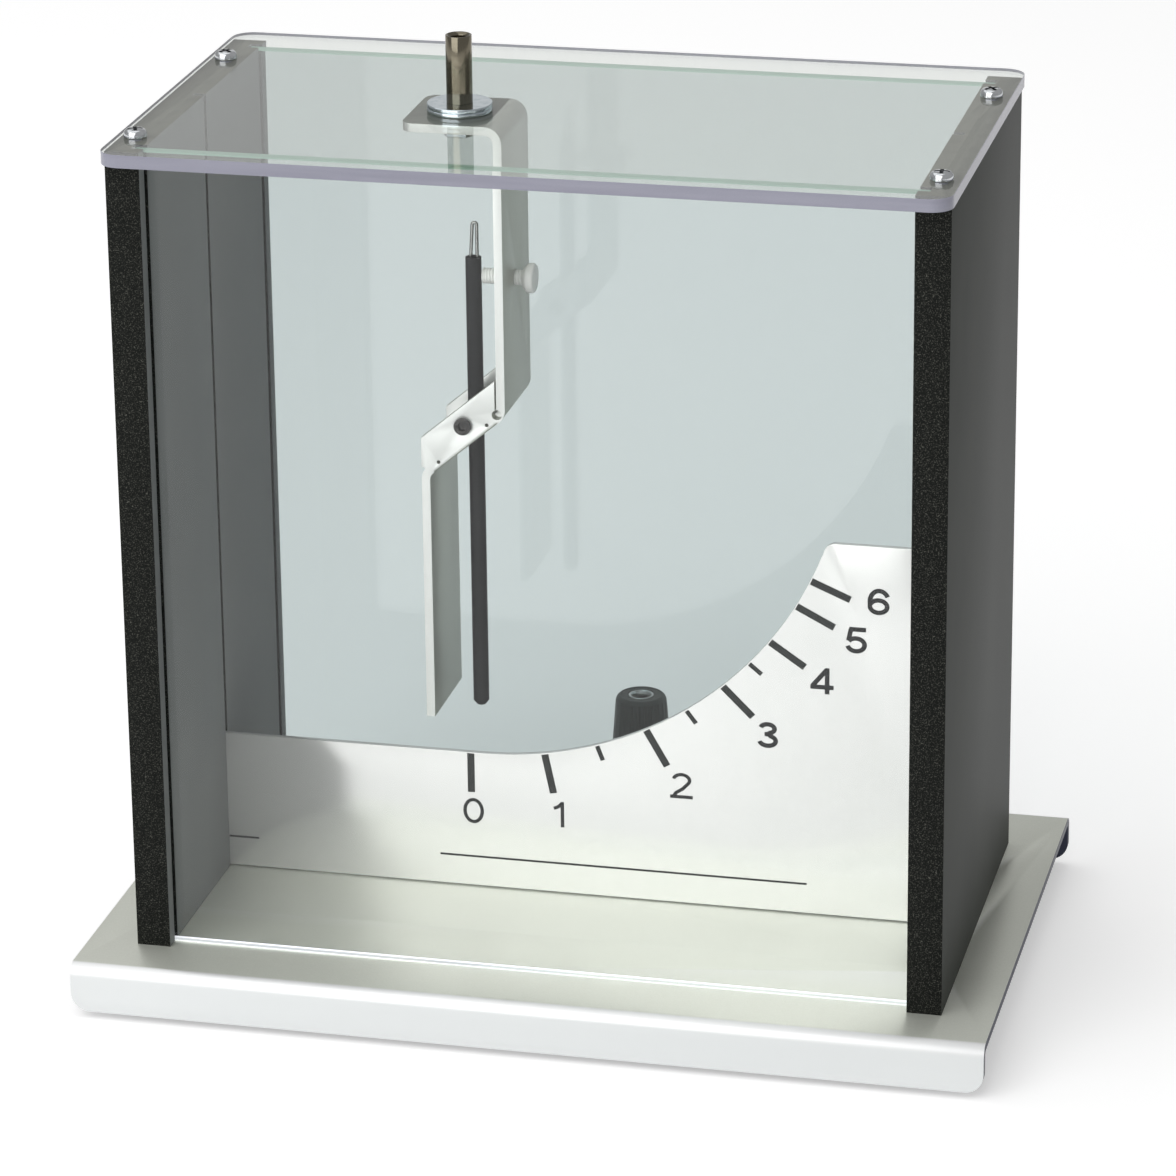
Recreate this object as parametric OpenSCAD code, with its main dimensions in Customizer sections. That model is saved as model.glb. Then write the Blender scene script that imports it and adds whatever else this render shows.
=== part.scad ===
// Demonstration electroscope: a glazed case on a folded sheet base, with a
// socket tube on top, a folded bracket below it and a pointer that swings in
// front of a cut-out scale plate. All sizes are in millimetres, +Z is up and
// the origin is on the floor under the middle of the base.

/* [Base] */
// Width of the base at each side of the case
base_side = 12; // [8:0.5:25]
// Depth of the base behind the case
base_rear = 20.5; // [19.5:0.5:45]
// Height of the folded edges, top face included
base_h = 11.5; // [10.5:0.5:16]
// Thickness of the base sheet
sheet_t = 2; // [1.5:0.1:2.5]
// Outer radius of the two long folds
fold_r = 3; // [2.6:0.1:4]
// Radius of the lower corners of the folded edges
apron_r = 4.5; // [1:0.5:6]
// Height of the folded edges above the table
foot_show = 1.5; // [1:0.5:4]
// Diameter of a rubber foot
foot_d = 14; // [10:1:16]
// Distance of a foot's axis from the ends and edges of the base
foot_inset = 15; // [12:1:17]

/* [Case] */
// Width of the case over both side boards
case_w = 190; // [186:1:196]
// Depth of the side boards
case_d = 100; // [96:1:106]
// Height of the side boards
case_h = 190; // [186:1:230]
// Thickness of a side board
board_t = 8; // [7:0.5:10]
// Distance from the front of the base to the front of the boards
case_set = 14.5; // [10:0.5:15]
// Depth of the grooves in the boards
groove_d = 2.7; // [2:0.1:3.2]
// Side play of a sheet in its groove
groove_play = 0.05; // [0.02:0.01:0.15]
// Thickness of the front and rear glass
pane_t = 3; // [2:0.5:4]
// Distance from the board's edge to the pane's groove
pane_set = 3.5; // [3:0.5:5]
// Gap between the top of a pane and the top plate
pane_gap = 0.5; // [0.2:0.1:1]

/* [Top plate] */
// Thickness of the clear top plate
top_t = 3; // [2.5:0.5:4]
// Overhang of the top plate in front and behind
top_over = 5; // [1:0.5:7]
// Overhang of the top plate at each side
top_side = 0.5; // [0:0.5:3]
// Radius of the top plate's corners
top_r = 5; // [2:0.5:8]
// Head diameter of a top screw
top_screw_head = 5.2; // [4.8:0.1:6]
// Shank diameter of a top screw
top_screw_d = 2.9; // [2.4:0.1:3]
// Distance of the front screws from the front of the boards
top_screw_front = 10.5; // [9:0.5:16]
// Distance of the rear screws from the rear of the boards
top_screw_rear = 20; // [9:0.5:22]
// Length of a top screw below its head
top_screw_len = 12; // [8:0.5:20]

/* [Scale plate] */
// Thickness of the scale plate
plate_t = 1.5; // [1:0.1:2]
// Height of the scale plate at its left end
plate_low = 34.5; // [30:0.5:38]
// Height of the scale plate at its right end
plate_high = 93.5; // [86:0.5:100]
// Radius of the rounded inner corner at the right
plate_corner = 3; // [1:0.5:4]
// Radius of the cut-out, from the pointer's axis
arc_r = 86.8; // [82:0.2:88]

/* [Socket tube] */
// Distance of the tube's axis from the middle, to the left
tube_x = 25.2; // [23:0.1:27]
// Distance of the tube's axis in front of the bracket's middle
tube_off = 2; // [0:0.5:3]
// Outside diameter of the tube
tube_d = 6; // [5.6:0.1:7]
// Bore for the plug
plug_d = 4; // [3.9:0.05:4.1]
// Length of the tube above the washers
tube_h = 15.7; // [14:0.1:24]
// Depth of the plug bore
plug_depth = 13; // [10:0.5:13]
// Outside diameter of a washer
washer_d = 15; // [12:0.5:16]
// Thickness of a washer
washer_t = 1; // [0.8:0.1:1.2]
// Diameter of the threaded end below the tube
stub_d = 5; // [4:0.5:5]
// Width across the flats of the nut below
tube_nut_af = 8; // [7:0.5:8]
// Height of the nut below
tube_nut_h = 2.7; // [2:0.1:4]

/* [Bracket] */
// Thickness of the bracket's sheet
strip_t = 2; // [1.5:0.1:2.2]
// Width of the bracket's strips
strip_w = 25; // [23:0.5:27]
// Distance of the bracket's middle in front of the scale plate's middle
bracket_off = 2.5; // [1.5:0.5:4]
// Inside radius of the strip's folds
bend_r = 2; // [1.5:0.1:2.3]
// Radius of the flange's free corners
flange_r = 3; // [1:0.5:5]
// Diameter of the relief hole at the root of each cheek
relief_d = 2.4; // [2:0.1:2.6]
// Diameter of the small relief marks at the ends of each long fold
notch_d = 0.9; // [0.6:0.1:1]
// Distance from the pointer's axis to the inner face of each strip
strip_gap = 8; // [7.6:0.1:9]
// Left end of the flange, from the pointer's axis
flange_left = 13.5; // [12:0.5:16]
// Length of the lower strip below the pointer's axis
lower_len = 72.3; // [60:0.1:76]
// Slope of the yoke in degrees
yoke_a = 40; // [38:1:42]
// Distance from the pointer's axis to the yoke's web
web_gap = 2.5; // [2.4:0.1:2.8]
// Height of the yoke's cheeks above the pointer's axis, across the slope
cheek_up = 3.7; // [3.4:0.1:5]
// Width of the slot for the pointer
slot_w = 7; // [6:0.5:9]

/* [Pointer] */
// Distance of the pointer's axis from the middle, to the left
pivot_x = 23; // [20:0.5:26]
// Length of the pointer's sleeve above its axis
sleeve_up = 36.8; // [30:0.1:40]
// Length of the pointer's sleeve below its axis
sleeve_down = 73.2; // [60:0.1:76]
// Outside diameter of the sleeve
sleeve_d = 3.7; // [3.4:0.1:4.2]
// Diameter of the doubled wire
wire_d = 0.8; // [0.7:0.05:1]
// Length of the bare loop above the sleeve
loop_h = 8.6; // [6:0.1:12]
// Diameter of the pointer's axle
axle_d = 1; // [0.8:0.05:1.1]
// Running clearance of the axle in its bearings, on the radius
axle_play = 0.05; // [0.02:0.01:0.08]
// Thread diameter of the two bearing screws
bearing_d = 4; // [3.5:0.5:4]
// Length of a bearing screw
bearing_len = 5; // [4.5:0.5:6]
// How far a bearing screw stands out of the cheek
bearing_out = 0.8; // [0.4:0.1:1.5]
// Width across the flats of a bearing screw's socket
key_af = 2; // [1.5:0.1:2.2]

/* [Stop screw] */
// Height of the stop screw above the pointer's axis
stop_up = 32.5; // [20:0.5:34]
// Thread diameter of the stop screw
stop_d = 3.8; // [3:0.1:4]
// Radial play of the stop screw in the strip
stop_play = 0.05; // [0.02:0.01:0.08]
// Gap between the stop screw and the pointer at rest
stop_gap = 0.35; // [0.3:0.05:1]
// Length of the stop screw under its head
stop_len = 9.8; // [9:0.1:12]
// Head diameter of the stop screw
stop_head_d = 7; // [5.5:0.5:8]
// Head thickness of the stop screw
stop_head_t = 2.6; // [2:0.1:3]

/* [Earth terminal] */
// Distance of the terminal from the middle, to the right
post_x = 2; // [-20:1:40]
// Distance of the terminal's axis from the rear of the base
post_in = 11.5; // [11:0.5:13]
// Height of the collar
collar_h = 8.4; // [5:0.1:10]
// Diameter of the collar
collar_d = 13; // [12:0.5:14]
// Height of the cap
cap_h = 20; // [17:0.5:22]
// Diameter of the cap at the top
cap_top_d = 12.4; // [11:0.1:13]
// Diameter of the cap at the bottom
cap_low_d = 15.4; // [14:0.1:15.6]
// Gap between the cap and the collar
cap_gap = 0.3; // [0.2:0.1:0.5]
// Outside diameter of the metal bush in the cap
bush_d = 6.2; // [6:0.1:7]
// Outside diameter of the stud
stud_d = 5; // [4.9:0.05:5.2]
// Radial play between the stud, the bush and the cap
post_play = 0.05; // [0.02:0.01:0.08]
// Depth of the plug bore in the stud
earth_depth = 14; // [10:0.5:16]

/* [Screws in the boards] */
// Shank diameter of a board screw
board_screw_d = 3.5; // [3:0.5:4]
// Length of a board screw below its head
board_screw_len = 20; // [14:1:25]
// Head diameter of a board screw
board_screw_head = 7; // [6:0.5:8]
// Distance between the two screws of one board
board_screw_pitch = 50; // [30:1:60]

/* [Hidden] */
$fn = 72;
eps = 0.01;
base_w = case_w + 2 * base_side;
base_d = case_set + case_d + base_rear;
deck = base_h + foot_show;
under = deck - sheet_t;
front_y = case_set - base_d / 2;
mid_y = front_y + case_d / 2;
back_y = front_y + case_d;
inner_w = case_w - 2 * board_t;
groove_w = pane_t + 2 * groove_play;
slit_w = plate_t + 2 * groove_play;
sheet_w = inner_w + 2 * (groove_d - groove_play);
lid = deck + case_h;
lid_top = lid + top_t;
board_mid = case_w / 2 - board_t / 2;
axis_x = -pivot_x;
axis_y = mid_y - bracket_off;
axis_z = deck + plate_low + arc_r;
strip_front = axis_y - strip_w / 2;
strip_back = axis_y + strip_w / 2;
tube_y = axis_y - tube_off;
tube_base = lid_top + 2 * washer_t;
stub_len = 2 * washer_t + top_t + strip_t + tube_nut_h + 0.5;
ca = cos(yoke_a);
sa = sin(yoke_a);
web_low = web_gap + strip_t;
upper_cx = strip_gap - bend_r;
upper_cz = (bend_r - web_gap + sa * upper_cx) / ca;
lower_cx = bend_r - strip_gap;
lower_cz = (sa * lower_cx - web_low - bend_r) / ca;
upper_s = upper_cx * ca + upper_cz * sa;
lower_s = lower_cx * ca + lower_cz * sa;
cheek_right = strip_gap - 0.4;
cheek_left = strip_gap + strip_t;
bend_steps = 10;
edge_r = 0.8;
sleeve_bore = 2 * wire_d + axle_d + 0.1;
leg_x = (axle_d + wire_d) / 2;
tip_x = axis_x + sleeve_d / 2 + stop_gap;
post_y = base_d / 2 - post_in;
cap_z = deck + collar_h + cap_gap;
stud_top = cap_z + cap_h - 1;
bush_z = cap_z + 5;

module ring(outer, inner, height) {
    difference() {
        cylinder(d = outer, h = height);
        translate([0, 0, -1])
            cylinder(d = inner, h = height + 2);
    }
}

module rounded_bottom(width, height, radius) {
    translate([-width / 2, radius])
        square([width, height - radius]);
    translate([radius - width / 2, 0])
        square([width - 2 * radius, radius + eps]);
    for (side = [-1, 1])
        translate([side * (width / 2 - radius), radius])
            circle(r = radius);
}

module sector(radius, thick, from, to) {
    reach = 3 * (radius + thick);
    intersection() {
        difference() {
            circle(r = radius + thick);
            circle(r = radius);
        }
        polygon([[0, 0], [reach * cos(from), reach * sin(from)],
            [reach * cos((from + to) / 2), reach * sin((from + to) / 2)],
            [reach * cos(to), reach * sin(to)]]);
    }
}

module pan_head(diameter, height) {
    crown = height * 0.45;
    cylinder(d = diameter, h = height - crown);
    translate([0, 0, height - crown])
        cylinder(d1 = diameter, d2 = diameter * 0.66, h = crown);
}

module rod_between(a, b, diameter) {
    d = b - a;
    translate(a)
        rotate([0, acos(d[2] / norm(d)), atan2(d[1], d[0])])
            cylinder(d = diameter, h = norm(d));
}

module base_section() {
    flat = base_d - 2 * fold_r;
    translate([-flat / 2, under])
        square([flat, sheet_t]);
    for (side = [-1, 1]) {
        translate([side * (flat / 2), deck - fold_r])
            scale([side, 1])
                sector(fold_r - sheet_t, sheet_t, 0, 90);
        translate([side * (base_d / 2 - sheet_t / 2) - sheet_t / 2, foot_show])
            square([sheet_t, base_h - fold_r]);
    }
}

module base_plate() {
    color("silver")
    difference() {
        intersection() {
            translate([-base_w / 2, 0, 0])
                rotate([90, 0, 90])
                    linear_extrude(base_w)
                        base_section();
            translate([0, base_d / 2 + 1, foot_show])
                rotate([90, 0, 0])
                    linear_extrude(base_d + 2)
                        rounded_bottom(base_w, base_h + 1, apron_r);
        }
        for (side = [-1, 1])
            for (end = [-1, 1])
                translate([side * board_mid, mid_y + end * board_screw_pitch / 2, under - 1])
                    cylinder(d = board_screw_d, h = sheet_t + 2);
        translate([post_x, post_y, under - 1])
            cylinder(d = stud_d, h = sheet_t + 2);
    }
}

module rubber_feet() {
    color("dimgray")
    for (side = [-1, 1])
        for (end = [-1, 1])
            translate([side * (base_w / 2 - foot_inset), end * (base_d / 2 - foot_inset), 0]) {
                cylinder(d1 = foot_d - 2, d2 = foot_d, h = 2);
                translate([0, 0, 2])
                    cylinder(d = foot_d, h = under - 2);
            }
}

module board_screws() {
    color("silver")
    for (side = [-1, 1])
        for (end = [-1, 1])
            translate([side * board_mid, mid_y + end * board_screw_pitch / 2, under]) {
                cylinder(d = board_screw_d, h = board_screw_len);
                mirror([0, 0, 1])
                    pan_head(board_screw_head, 2.6);
            }
}

module board(side) {
    inner = side * inner_w / 2;
    cut = groove_d * 2;
    difference() {
        translate([side > 0 ? inner : inner - board_t, front_y, deck])
            cube([board_t, case_d, case_h]);
        translate([inner - groove_d, front_y + pane_set, deck - 1])
            cube([cut, groove_w, case_h + 2]);
        translate([inner - groove_d, back_y - pane_set - groove_w, deck - 1])
            cube([cut, groove_w, case_h + 2]);
        translate([inner - groove_d, mid_y - slit_w / 2, deck - 1])
            cube([cut, slit_w, case_h + 2]);
        for (end = [-1, 1])
            translate([side * board_mid, mid_y + end * board_screw_pitch / 2, deck - 1])
                cylinder(d = board_screw_d, h = board_screw_len - sheet_t + 1);
        for (y = [front_y + top_screw_front, back_y - top_screw_rear])
            translate([side * board_mid, y, lid - top_screw_len])
                cylinder(d = top_screw_d, h = top_screw_len + 1);
    }
}

module side_board_left() {
    color("dimgray")
        board(-1);
}

module side_board_right() {
    color("dimgray")
        board(1);
}

module pane(y) {
    translate([-sheet_w / 2, y, deck])
        cube([sheet_w, pane_t, case_h - pane_gap]);
}

module front_pane() {
    color("lightblue", 0.4)
        pane(front_y + pane_set + groove_play);
}

module rear_pane() {
    color("lightblue", 0.4)
        pane(back_y - pane_set - groove_play - pane_t);
}

module scale_outline() {
    half = sheet_w / 2;
    drop = arc_r + plate_low - plate_high;
    wall_x = axis_x + sqrt(arc_r * arc_r - drop * drop);
    round_y = plate_high - plate_corner;
    reach = arc_r + plate_corner;
    dip = arc_r + plate_low - round_y;
    round_x = axis_x + sqrt(reach * reach - dip * dip);
    difference() {
        union() {
            translate([-half, 0])
                square([half + axis_x + eps, plate_low]);
            translate([axis_x, 0])
                square([half - axis_x, round_y]);
            translate([round_x, 0])
                square([half - round_x, plate_high]);
            translate([round_x, round_y])
                circle(r = plate_corner);
        }
        difference() {
            translate([axis_x, plate_low + arc_r])
                circle(r = arc_r, $fn = 180);
            translate([round_x, round_y])
                circle(r = plate_corner);
            translate([wall_x, plate_high - eps])
                square([half, 2 * arc_r]);
        }
    }
}

module scale_plate() {
    color("whitesmoke")
        translate([0, mid_y + plate_t / 2, deck])
            rotate([90, 0, 0])
                linear_extrude(plate_t)
                    scale_outline();
}

module top_plate() {
    width = case_w + 2 * top_side;
    depth = case_d + 2 * top_over;
    color("lightcyan", 0.4)
    difference() {
        union() {
            translate([-width / 2, mid_y - depth / 2 + top_r, lid])
                cube([width, depth - 2 * top_r, top_t]);
            translate([top_r - width / 2, mid_y - depth / 2, lid])
                cube([width - 2 * top_r, depth, top_t]);
            for (side = [-1, 1])
                for (end = [-1, 1])
                    translate([side * (width / 2 - top_r), mid_y + end * (depth / 2 - top_r), lid])
                        cylinder(r = top_r, h = top_t);
        }
        for (side = [-1, 1])
            for (y = [front_y + top_screw_front, back_y - top_screw_rear])
                translate([side * board_mid, y, lid - 1])
                    cylinder(d = top_screw_d, h = top_t + 2);
        translate([-tube_x, tube_y, lid - 1])
            cylinder(d = stub_d, h = top_t + 2);
    }
}

module top_screws() {
    color("silver")
    for (side = [-1, 1])
        for (y = [front_y + top_screw_front, back_y - top_screw_rear])
            translate([side * board_mid, y, lid_top]) {
                pan_head(top_screw_head, 2);
                translate([0, 0, -top_screw_len])
                    cylinder(d = top_screw_d, h = top_screw_len + eps);
            }
}

module socket_tube() {
    color("gray")
    translate([-tube_x, tube_y, tube_base])
    difference() {
        union() {
            cylinder(d = tube_d, h = tube_h);
            translate([0, 0, -stub_len])
                cylinder(d = stub_d, h = stub_len + eps);
        }
        translate([0, 0, tube_h - plug_depth])
            cylinder(d = plug_d, h = plug_depth + 1);
        translate([0, 0, tube_h - 0.6])
            cylinder(d1 = plug_d, d2 = plug_d + 2.4, h = 1.2);
    }
}

module tube_washers() {
    color("silver")
    for (i = [0, 1])
        translate([-tube_x, tube_y, lid_top + i * washer_t])
            ring(washer_d, stub_d, washer_t);
}

module tube_nut() {
    color("silver")
    translate([-tube_x, tube_y, lid - strip_t - tube_nut_h])
    difference() {
        cylinder(d = tube_nut_af / cos(30), h = tube_nut_h, $fn = 6);
        translate([0, 0, -1])
            cylinder(d = stub_d, h = tube_nut_h + 2);
    }
}

function arc(cx, cz, radius, from, to) =
    [for (i = [0:bend_steps]) let (a = from + (to - from) * i / bend_steps)
        [cx + radius * cos(a), cz + radius * sin(a)]];

module strip_side() {
    top = lid - axis_z;
    top_cx = strip_gap - bend_r;
    top_cz = top - strip_t - bend_r;
    outer = bend_r + strip_t;
    polygon(concat([[-flange_left, top]],
        arc(top_cx, top_cz, outer, 90, 0),
        arc(upper_cx, upper_cz, outer, 0, yoke_a - 90),
        arc(lower_cx, lower_cz, bend_r, yoke_a + 90, 180),
        [[-strip_gap, -lower_len], [-strip_gap - strip_t, -lower_len]],
        arc(lower_cx, lower_cz, outer, 180, yoke_a + 90),
        arc(upper_cx, upper_cz, bend_r, yoke_a - 90, 0),
        arc(top_cx, top_cz, bend_r, 0, 90),
        [[-flange_left, top - strip_t]]));
}

module cheek_side() {
    high = (cheek_up + sa * cheek_right) / ca;
    low = (cheek_up - sa * cheek_left) / ca;
    root = strip_t / 2 - web_low;
    corner = cheek_left - 1.8;
    polygon([[cheek_right, high], [-cheek_left, low],
        [-cheek_left, (root - sa * cheek_left) / ca + 2.6],
        [-corner, (root - sa * corner) / ca], [cheek_right, (root + sa * cheek_right) / ca]]);
}

module corner_cut(radius) {
    translate([-1, -1])
    difference() {
        square([radius + 1, radius + 1]);
        translate([radius + 1, radius + 1])
            circle(r = radius);
    }
}

module relief_cuts() {
    deep = 2 * strip_t + 1;
    reach = bend_r + 0.4;
    translate([upper_cx + reach * cos(30), -strip_w / 2, upper_cz - reach * sin(30)])
        rotate([90, 0, 0])
            cylinder(d = relief_d, h = deep, center = true);
    rotate([0, -yoke_a, 0])
        for (s = [-10.4, 4.7])
            translate([s, -strip_w / 2, 1.3 - web_low])
                rotate([90, 0, 0])
                    cylinder(d = notch_d, h = deep, center = true);
}

module bracket() {
    slot_low = -6.8;
    slot_high = 5.2;
    color("gainsboro")
    translate([axis_x, axis_y, axis_z])
    difference() {
        union() {
            translate([0, strip_w / 2, 0])
                rotate([90, 0, 0])
                    linear_extrude(strip_w)
                        strip_side();
            for (y = [strip_t - strip_w / 2, strip_w / 2])
                translate([0, y, 0])
                    rotate([90, 0, 0])
                        linear_extrude(strip_t)
                            cheek_side();
        }
        for (side = [-1, 1])
            scale([1, side, 1]) {
                rotate([0, -yoke_a, 0])
                    translate([lower_s + 0.5, -strip_w / 2, -web_low])
                        rotate([90, 0, 90])
                            linear_extrude(upper_s - lower_s - 1)
                                corner_cut(edge_r);
                translate([-flange_left, -strip_w / 2, lid - axis_z - strip_t - 1])
                    linear_extrude(strip_t + 2)
                        corner_cut(flange_r);
                relief_cuts();
            }
        rotate([0, -yoke_a, 0])
            translate([slot_low, -slot_w / 2, -web_low - 1])
                cube([slot_high - slot_low, slot_w, strip_t + 2]);
        translate([0, strip_w, 0])
            rotate([90, 0, 0])
                cylinder(d = bearing_d, h = 2 * strip_w);
        translate([0, 0, stop_up])
            rotate([0, 90, 0])
                cylinder(d = stop_d + 2 * stop_play, h = strip_gap + strip_t + 1);
        translate([pivot_x - tube_x, -tube_off, lid - axis_z - strip_t - 1])
            cylinder(d = stub_d, h = strip_t + 2);
    }
}

module bearing_screw() {
    translate([0, -bearing_out - strip_w / 2, 0])
        rotate([-90, 0, 0])
            difference() {
                cylinder(d = bearing_d, h = bearing_len);
                translate([0, 0, bearing_len - 2.5])
                    cylinder(d = axle_d + 2 * axle_play, h = 3);
                translate([0, 0, -1])
                    cylinder(d = key_af / cos(30), h = 2.4, $fn = 6);
            }
}

module bearing_screw_front() {
    color("black")
    translate([axis_x, axis_y, axis_z])
        bearing_screw();
}

module bearing_screw_rear() {
    color("black")
    translate([axis_x, axis_y, axis_z])
        mirror([0, 1, 0])
            bearing_screw();
}

module pointer_axle() {
    half = strip_w / 2 + bearing_out - bearing_len + 2.2;
    color("silver")
    translate([axis_x, axis_y + half, axis_z])
        rotate([90, 0, 0])
            cylinder(d = axle_d, h = 2 * half);
}

module pointer_wire() {
    lean = 0.4;
    narrow = wire_d / 2 + 0.12;
    foot_z = sleeve_up - 5;
    bend_z = sleeve_up + loop_h - narrow - wire_d / 2;
    color("silver")
    translate([axis_x, axis_y, axis_z]) {
        for (side = [-1, 1]) {
            foot = [side * leg_x, 0, foot_z];
            head = [lean + side * narrow, 0, bend_z];
            translate([side * leg_x, 0, 2 - sleeve_down])
                cylinder(d = wire_d, h = sleeve_down + foot_z - 2);
            rod_between(foot, head, wire_d);
            for (joint = [foot, head])
                translate(joint)
                    sphere(d = wire_d + 0.06);
        }
        translate([lean, 0, bend_z])
            rotate([90, 0, 0])
                rotate_extrude(angle = 180)
                    translate([narrow, 0])
                        circle(d = wire_d);
    }
}

module pointer_sleeve() {
    color("dimgray")
    translate([axis_x, axis_y, axis_z])
    difference() {
        union() {
            translate([0, 0, 1 - sleeve_down])
                cylinder(d = sleeve_d, h = sleeve_down + sleeve_up - 1);
            translate([0, 0, -sleeve_down])
                cylinder(d1 = sleeve_d - 1.6, d2 = sleeve_d, h = 1 + eps);
        }
        translate([0, 0, 2 - sleeve_down])
            cylinder(d = sleeve_bore, h = sleeve_down + sleeve_up);
        translate([0, sleeve_d, 0])
            rotate([90, 0, 0])
                cylinder(d = axle_d, h = 2 * sleeve_d);
    }
}

module stop_screw() {
    color("ivory")
    translate([tip_x, axis_y, axis_z + stop_up])
        rotate([0, 90, 0])
            rotate_extrude()
                polygon([[0, 0], [stop_d / 2 - 0.3, 0], [stop_d / 2, 0.3], [stop_d / 2, stop_len],
                    [stop_head_d / 2 - 0.9, stop_len], [stop_head_d / 2, stop_len + 0.9],
                    [stop_head_d / 2, stop_len + stop_head_t - 0.4],
                    [stop_head_d / 2 - 0.4, stop_len + stop_head_t], [0, stop_len + stop_head_t]]);
}

module post_stud() {
    low = under - 1 - 4 - 1;
    color("silver")
    translate([post_x, post_y, 0])
    difference() {
        translate([0, 0, low])
            cylinder(d = stud_d, h = stud_top - low);
        translate([0, 0, stud_top - earth_depth])
            cylinder(d = plug_d, h = earth_depth + 1);
    }
}

module post_collar() {
    color("black")
    translate([post_x, post_y, deck])
        ring(collar_d, stud_d, collar_h);
}

module post_washer() {
    color("silver")
    translate([post_x, post_y, under - 1])
        ring(10, stud_d, 1);
}

module post_nut() {
    color("silver")
    translate([post_x, post_y, under - 5])
    difference() {
        cylinder(d = 8 / cos(30), h = 4, $fn = 6);
        translate([0, 0, -1])
            cylinder(d = stud_d, h = 6);
    }
}

module post_bush() {
    color("silver")
    translate([post_x, post_y, bush_z])
        ring(bush_d, stud_d + 2 * post_play, cap_z + cap_h - bush_z);
}

module post_cap() {
    lip = 1;
    color("black")
    translate([post_x, post_y, cap_z])
    difference() {
        union() {
            cylinder(d1 = cap_low_d - 0.8, d2 = cap_low_d, h = 1);
            translate([0, 0, 1])
                cylinder(d1 = cap_low_d, d2 = cap_top_d, h = cap_h - 2);
            translate([0, 0, cap_h - 1])
                cylinder(d1 = cap_top_d, d2 = cap_top_d - 1.6, h = 1);
        }
        translate([0, 0, -1])
            cylinder(d = stud_d + 1, h = 8);
        translate([0, 0, bush_z - cap_z - lip])
            cylinder(d = bush_d + 2 * post_play, h = cap_h);
    }
}

base_plate();
rubber_feet();
side_board_left();
side_board_right();
board_screws();
front_pane();
rear_pane();
scale_plate();
top_plate();
top_screws();
socket_tube();
tube_washers();
tube_nut();
bracket();
bearing_screw_front();
bearing_screw_rear();
pointer_axle();
pointer_wire();
pointer_sleeve();
stop_screw();
post_stud();
post_collar();
post_washer();
post_nut();
post_bush();
post_cap();
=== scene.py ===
"""Looks of a demonstration electroscope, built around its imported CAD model.

Every length in the classes is in millimetres in the frame of the model: +Z up,
the origin on the table under the middle of the base. Pieces are turned to
metres when they are placed.
"""

import logging
import math
from dataclasses import dataclass, field
from enum import Enum
from typing import Callable, Iterable, Optional, Sequence, Union

import bmesh
import bpy
from mathutils import Matrix, Vector


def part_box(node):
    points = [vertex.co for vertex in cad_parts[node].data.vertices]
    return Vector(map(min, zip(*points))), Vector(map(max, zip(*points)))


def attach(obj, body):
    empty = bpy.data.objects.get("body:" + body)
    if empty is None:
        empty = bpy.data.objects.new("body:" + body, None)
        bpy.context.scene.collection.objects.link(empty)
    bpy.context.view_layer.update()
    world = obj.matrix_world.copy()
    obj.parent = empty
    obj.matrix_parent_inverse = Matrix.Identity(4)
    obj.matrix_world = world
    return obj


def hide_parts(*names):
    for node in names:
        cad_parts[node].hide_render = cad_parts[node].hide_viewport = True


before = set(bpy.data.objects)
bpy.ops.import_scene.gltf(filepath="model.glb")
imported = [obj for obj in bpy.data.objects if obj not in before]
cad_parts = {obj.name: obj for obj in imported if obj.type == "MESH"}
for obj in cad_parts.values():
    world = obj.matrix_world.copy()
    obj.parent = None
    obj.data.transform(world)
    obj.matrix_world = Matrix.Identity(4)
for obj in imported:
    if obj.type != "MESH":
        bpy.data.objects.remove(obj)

MM = 0.001
WELD_MM = 0.002
FLAT_DEG = 0.6
SHARP_DEG = 35.0
DIGIT_WIDTH = 0.62
LOG = logging.getLogger("electroscope")

Colour = tuple[float, float, float]
Point = tuple[float, float, float]


class Grain(Enum):
    """Direction in which a sheet was brushed or a turned piece was cut."""

    ALONG_X = (0.02, 1.0, 1.0)
    ALONG_Z = (1.0, 1.0, 0.02)


class Body(Enum):
    """The moving bodies of the CAD model."""

    CASE = "instrument_case"
    POINTER = "pointer"
    STOP = "stop"
    BUSH = "terminal_bush"
    CAP = "terminal_cap"


class Signal:
    """One number of a material, on which Python's operators add Math nodes."""

    def __init__(self, recipe: "Recipe", socket: bpy.types.NodeSocket) -> None:
        """Wraps an output socket of the recipe's node tree."""
        self.recipe = recipe
        self.socket = socket

    def __add__(self, other: "Number") -> "Signal":
        """self + other."""
        return self.recipe.math("ADD", self, other)

    def __radd__(self, other: "Number") -> "Signal":
        """other + self."""
        return self.recipe.math("ADD", other, self)

    def __sub__(self, other: "Number") -> "Signal":
        """self - other."""
        return self.recipe.math("SUBTRACT", self, other)

    def __rsub__(self, other: "Number") -> "Signal":
        """other - self."""
        return self.recipe.math("SUBTRACT", other, self)

    def __mul__(self, other: "Number") -> "Signal":
        """self * other."""
        return self.recipe.math("MULTIPLY", self, other)

    def __rmul__(self, other: "Number") -> "Signal":
        """other * self."""
        return self.recipe.math("MULTIPLY", other, self)

    def __gt__(self, other: "Number") -> "Signal":
        """1 where self is above other, else 0."""
        return self.recipe.math("GREATER_THAN", self, other)

    def __lt__(self, other: "Number") -> "Signal":
        """1 where self is below other, else 0."""
        return self.recipe.math("LESS_THAN", self, other)

    def __abs__(self) -> "Signal":
        """The size of self without its sign."""
        return self.recipe.math("ABSOLUTE", self, 0.0)

    def clipped(self) -> "Signal":
        """self kept between 0 and 1."""
        return self.recipe.math("MULTIPLY", self, 1.0, clamp=True)

    def ramped(self, low: float, high: float) -> "Signal":
        """0 below low, 1 above high and straight between them."""
        return ((self - low) * (1.0 / (high - low))).clipped()


Number = Union[Signal, float]


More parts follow.
